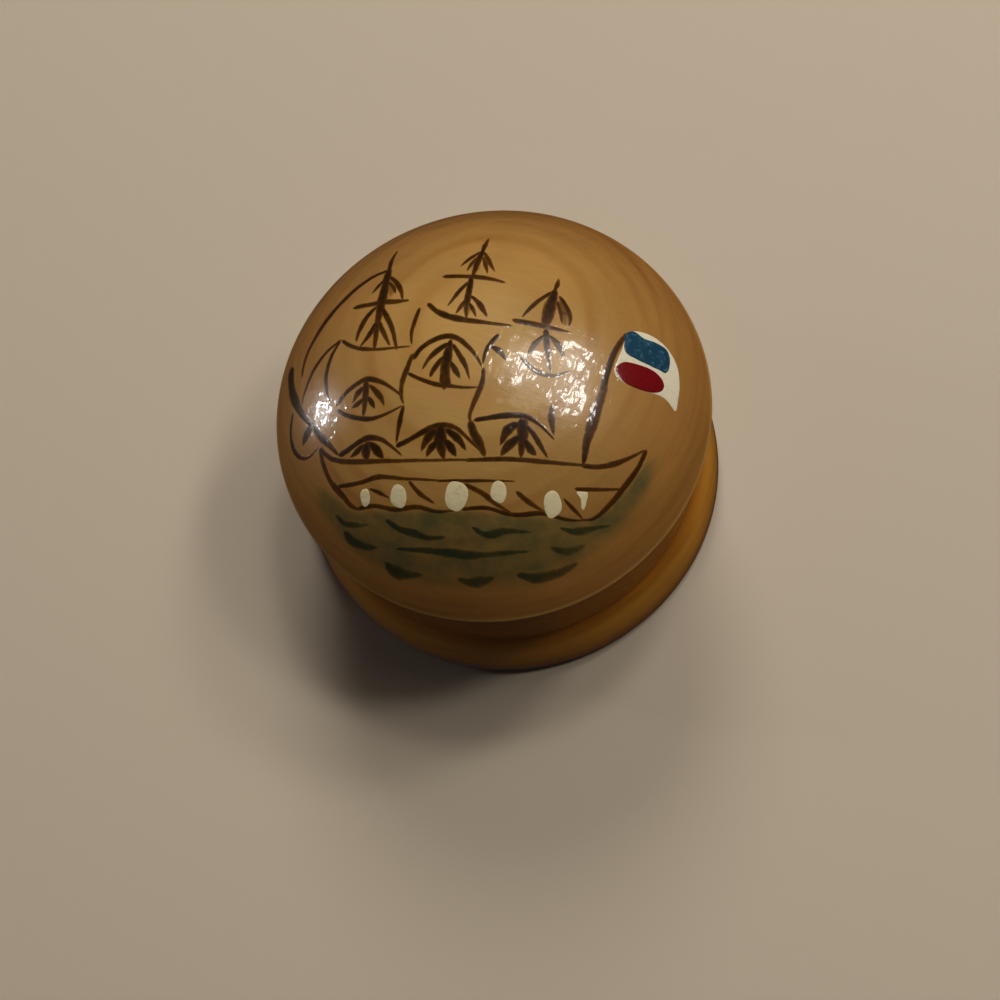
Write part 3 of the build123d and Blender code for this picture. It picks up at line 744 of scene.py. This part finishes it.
    ((0.74, 0.66, 0.40), 0.80, [(11.1, -2.0), (11.7, 0.8), (12.4, 2.8), (13.3, 4.6)]),
]
ship = brush_strokes("ship_line_strokes", ship_lines, line_film, wander=0.2, seed=11)
ship.data.materials.append(brown_paint)
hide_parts("ship_lines")
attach(ship, "lid")

# ---------------------------------------------------------------------------------------------
# Portholes and flag. Thick opaque paint put on in single dabs, so that it stands proud with a soft
# rounded edge and catches the light.
# ---------------------------------------------------------------------------------------------


def closed_line(points, count):
    """A closed Catmull-Rom curve through the points, count points on each stretch."""
    p = np.asarray(points, float)
    return catmull_rom(*(np.roll(p, 1 - k, axis=0)[:, None, :] for k in range(4)), count)


def oval(centre, half_w, half_h, turn, wobble, rng):
    """Outline of an oval dab: an ellipse whose radius wanders by wobble in waves of 2, 3 and 4."""
    a = np.linspace(0, 2 * math.pi, 48, endpoint=False)
    size = 1 + wobble * sum(np.sin(n * a + rng.uniform(0, 6.3)) for n in (2, 3, 4)) / 3
    x, y = half_w * size * np.cos(a), half_h * size * np.sin(a)
    c, s = math.cos(math.radians(turn)), math.sin(math.radians(turn))
    return np.column_stack([centre[0] + c * x - s * y, centre[1] + s * x + c * y])


dab_root = 0.06  # how far a dab's underside lies inside what it is painted on, in mm


def paint_dabs(name, outlines, film, base_lift, ridge, seed):
    """A mesh of dabs on the dome. From its middle, u = 0, to its outline, u = 1, a dab stands
    base_lift + film * (1.15 b - 0.15) off the dome, where b is (1 - u^4)^(1/2), plus bristle
    ridges that run along X, of height ridge * b. The underside lies just inside what the dab is
    painted on.
    """
    rng = np.random.default_rng(seed)
    u = np.concatenate([np.linspace(0, 0.8, 9)[1:], [0.88, 0.94, 0.98, 1.0]])[:, None, None]
    all_points, all_faces, start = [], [], 0
    for outline in outlines:
        middle = outline.mean(axis=0)
        n, rows = len(outline), len(u)
        plan = middle + u * (outline - middle)[None, :, :]
        bristle = np.sin(plan[..., 1] * 11 + rng.uniform(0, 6.3)) * np.sin(plan[..., 0] * 2.3 + 1)
        body = np.sqrt(np.maximum(1 - u[..., 0] ** 4, 0))
        lift = base_lift + film * (1.15 * body - 0.15) + ridge * bristle * body
        top = on_dome(plan, lift).reshape(-1, 3)
        tip = on_dome(middle[None, :], np.array([base_lift + film]))
        under = on_dome(middle[None, :], np.array([base_lift - dab_root]))
        all_points.append(np.vstack([tip, top, under]))
        ring = np.arange(n)
        ahead = (ring + 1) % n
        first, last = start + 1, start + 1 + (rows - 1) * n
        all_faces += np.column_stack([np.full(n, start), first + ring, first + ahead]).tolist()
        i, j = np.meshgrid(np.arange(rows - 1), ring, indexing="ij")
        a, b, k = first + i * n, first + (i + 1) * n, (j + 1) % n
        all_faces += np.stack([a + j, b + j, b + k, a + k], axis=-1).reshape(-1, 4).tolist()
        foot = start + 1 + rows * n
        all_faces += np.column_stack([np.full(n, foot), last + ahead, last + ring]).tolist()
        start += 2 + rows * n
    return mesh_piece(name, np.vstack(all_points), all_faces, 80)


def dab_paint(name, body, second, share):
    """Thick artist's paint under varnish: opaque, gently glossy, its colour a little uneven, with
    share of the second tone where the bristles parted it.
    """
    made, tree, shader = node_tree(name)
    in_mm = wood_axes(tree)
    varnish_over(tree, shader, in_mm)
    uneven = add(
        tree, "TexNoise", {}, {"Vector": in_mm, "Scale": 2.2, "Detail": 4.0, "Roughness": 0.65}
    ).outputs[0]
    part = add(
        tree,
        "MapRange",
        SMOOTH,
        {0: uneven, 1: 0.62 - 0.2 * share, 2: 0.85 - 0.2 * share},
    ).outputs[0]
    tone = add(
        tree, "Mix", MIX_COLOURS, {0: part, 6: linear(body), 7: linear(second)}
    ).outputs[2]
    skin = add(tree, "Bump", {}, {"Height": uneven, "Distance": 0.00006, "Strength": 0.7}).outputs[0]
    tree.links.new(tone, shader.inputs["Base Color"])
    tree.links.new(skin, shader.inputs["Normal"])
    shader.inputs["Roughness"].default_value = 0.3
    shader.inputs["Specular IOR Level"].default_value = 0.15
    shader.inputs["IOR"].default_value = SURFACE_IOR
    return made


cream_paint = dab_paint("cream_artists_paint", "EEDFB2", "DCC994", 0.5)
white_paint = dab_paint("warm_white_artists_paint", "E2D8BE", "C8B68E", 0.4)
blue_paint = dab_paint("steel_blue_artists_paint", "1B3F55", "4A6E80", 0.6)
red_paint = dab_paint("crimson_artists_paint", "74090F", "560509", 0.5)

hand = np.random.default_rng(31)
porthole_dabs = [
    # centre, half width, half height, turn in degrees
    ((-10.5, -10.8), 0.50, 0.75, 8),
    ((-7.2, -11.1), 0.78, 1.00, 6),
    ((-1.8, -11.4), 1.05, 1.25, 0),
    ((2.0, -11.1), 0.70, 0.95, -4),
    ((6.7, -11.9), 0.80, 1.08, -6),
]
rounds = [oval(c, w, h, turn, 0.09, hand) for c, w, h, turn in porthole_dabs]
last_dab = [
    (8.8, -10.75), (9.35, -10.65), (9.8, -10.7), (9.7, -11.3), (9.45, -12.05), (9.2, -12.0),
    (9.15, -11.3),
]
rounds.append(closed_line(last_dab[::-1], 6))
portholes = paint_dabs("porthole_dabs", rounds, film=0.03, base_lift=0.0, ridge=0.0015, seed=5)
portholes.data.materials.append(cream_paint)
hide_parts("portholes")
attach(portholes, "lid")

flag_outline = [
    (13.1, 3.9), (13.6, 4.8), (14.7, 5.05), (15.9, 4.75), (17.0, 3.9), (17.8, 2.4), (18.0, 0.6),
    (17.85, -1.0), (17.6, -2.1), (16.9, -1.4), (16.2, -1.05), (14.6, -0.95), (12.9, -0.5),
    (12.15, 0.3), (12.4, 1.5), (12.8, 2.7),
]
blue_outline = [
    (13.2, 4.5), (13.9, 4.85), (14.8, 4.35), (15.8, 4.25), (16.8, 3.8), (17.1, 2.7), (16.8, 1.4),
    (15.9, 1.5), (14.3, 1.9), (13.2, 2.4), (13.0, 3.4),
]
red_outline = [
    (12.3, 0.7), (13.0, 1.45), (14.3, 1.5), (15.7, 1.2), (16.5, 0.4), (16.4, -0.5), (15.3, -0.95),
    (13.5, -0.7), (12.6, -0.1),
]
ground_film = 0.04
flag_parts = [
    # name, node, slot, outline, film, lift of what it is painted on, paint
    ("flag_ground", "flag_white", "cream_paint", flag_outline, ground_film, 0.0, white_paint),
    ("flag_blue_patch", "flag_blue", "blue_paint", blue_outline, 0.03, ground_film, blue_paint),
    ("flag_red_patch", "flag_red", "red_paint", red_outline, 0.05, ground_film, red_paint),
]
for name, cad_node, slot, outline, film, lift, paint in flag_parts:
    patch = paint_dabs(name, [closed_line(outline[::-1], 6)], film, lift, ridge=0.008, seed=7)
    patch.data.materials.append(paint)
    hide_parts(cad_node)
    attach(patch, "lid")

# ---------------------------------------------------------------------------------------------
# The studio: a pale matt table, a soft light behind, a broad one overhead, three small lamps that
# the varnish breaks up into glints, and a small low one at the left. The varnish reflects neither
# the table nor the light behind, so no pale veil lies over the dome.
# ---------------------------------------------------------------------------------------------
table_half = 0.9
bpy.ops.mesh.primitive_plane_add(size=2 * table_half)
table = bpy.context.object
table.name = "table_top"
pale = bpy.data.materials.new("pale_matt_table")
pale.use_nodes = True
pale.node_tree.nodes["Principled BSDF"].inputs["Base Color"].default_value = linear("C8BAA5")
pale.node_tree.nodes["Principled BSDF"].inputs["Roughness"].default_value = 0.8
table.data.materials.append(pale)
table.visible_glossy = False


def soft_light(name, towards, distance, width, watts, colour, mirrored=True, spread=180):
    """A round area light on the ray from the box's dome in direction towards, facing the dome, with
    its beam spread degrees wide. Where it isn't mirrored, the varnish shows no reflection of it.
    """
    lamp = bpy.data.lights.new(name, "AREA")
    lamp.shape = "DISK"
    lamp.size, lamp.energy, lamp.color = width, watts, colour
    lamp.spread = math.radians(spread)
    holder = bpy.data.objects.new(name, lamp)
    bpy.context.scene.collection.objects.link(holder)
    ray = np.array(towards) / np.linalg.norm(towards)
    holder.location = (ray * distance + np.array([0, 0, rim_z])).tolist()
    holder.rotation_mode = "QUATERNION"
    holder.rotation_quaternion = holder.location.to_track_quat("Z", "Y")
    holder.visible_glossy = mirrored


warm_white = (1.0, 0.97, 0.93)
amber_white = (1.0, 0.88, 0.72)
cool_white = (0.95, 0.97, 1.0)
soft_light(
    "far_softbox", (-0.05, 0.78, 0.62), distance=0.6, width=0.24, watts=1.45,
    colour=warm_white, mirrored=False,
)
soft_light(
    "overhead_softbox", (0.35, 0.32, 0.88), distance=0.6, width=0.4, watts=0.5, colour=amber_white
)
for number, towards in enumerate([(0.20, 0.38, 0.90), (0.53, 0.44, 0.72), (0.54, 0.16, 0.82)]):
    soft_light(f"lamp_{number}", towards, distance=0.55, width=0.085, watts=0.42, colour=warm_white)
soft_light(
    "low_left_light", (-0.965, 0.222, 0.13), distance=0.5, width=0.036, watts=0.014,
    colour=cool_white, spread=40,
)

world = bpy.data.worlds.new("room")
world.use_nodes = True
world.node_tree.nodes["Background"].inputs["Color"].default_value = (0.82, 0.78, 0.72, 1)
world.node_tree.nodes["Background"].inputs["Strength"].default_value = 0.02
bpy.context.scene.world = world
bpy.context.scene.view_settings.view_transform = "Standard"

# The camera looks down steeply from the ship's lower right, rolled so the ship lies nearly level
camera_data = bpy.data.cameras.new("camera")
camera_data.lens = 57.6
camera = bpy.data.objects.new("camera", camera_data)
bpy.context.scene.collection.objects.link(camera)
azimuth, elevation, roll = (math.radians(a) for a in (21.7, 71.2, -21.2))
reach = 0.1691
aim = np.array([-1.13, -3.62, 1.05]) * MM
back = np.array(
    [
        math.sin(azimuth) * math.cos(elevation),
        -math.cos(azimuth) * math.cos(elevation),
        math.sin(elevation),
    ]
)
level = np.array([math.cos(azimuth), math.sin(azimuth), 0.0])
raised = np.cross(back, level)
right = math.cos(roll) * level + math.sin(roll) * raised
upward = -math.sin(roll) * level + math.cos(roll) * raised
camera.rotation_mode = "QUATERNION"
camera_axes = mathutils.Matrix(np.column_stack([right, upward, back]).tolist())
camera.rotation_quaternion = camera_axes.to_quaternion()
camera.location = (aim + reach * back).tolist()
camera_data.clip_start, camera_data.clip_end = 0.005, 10
bpy.context.scene.camera = camera
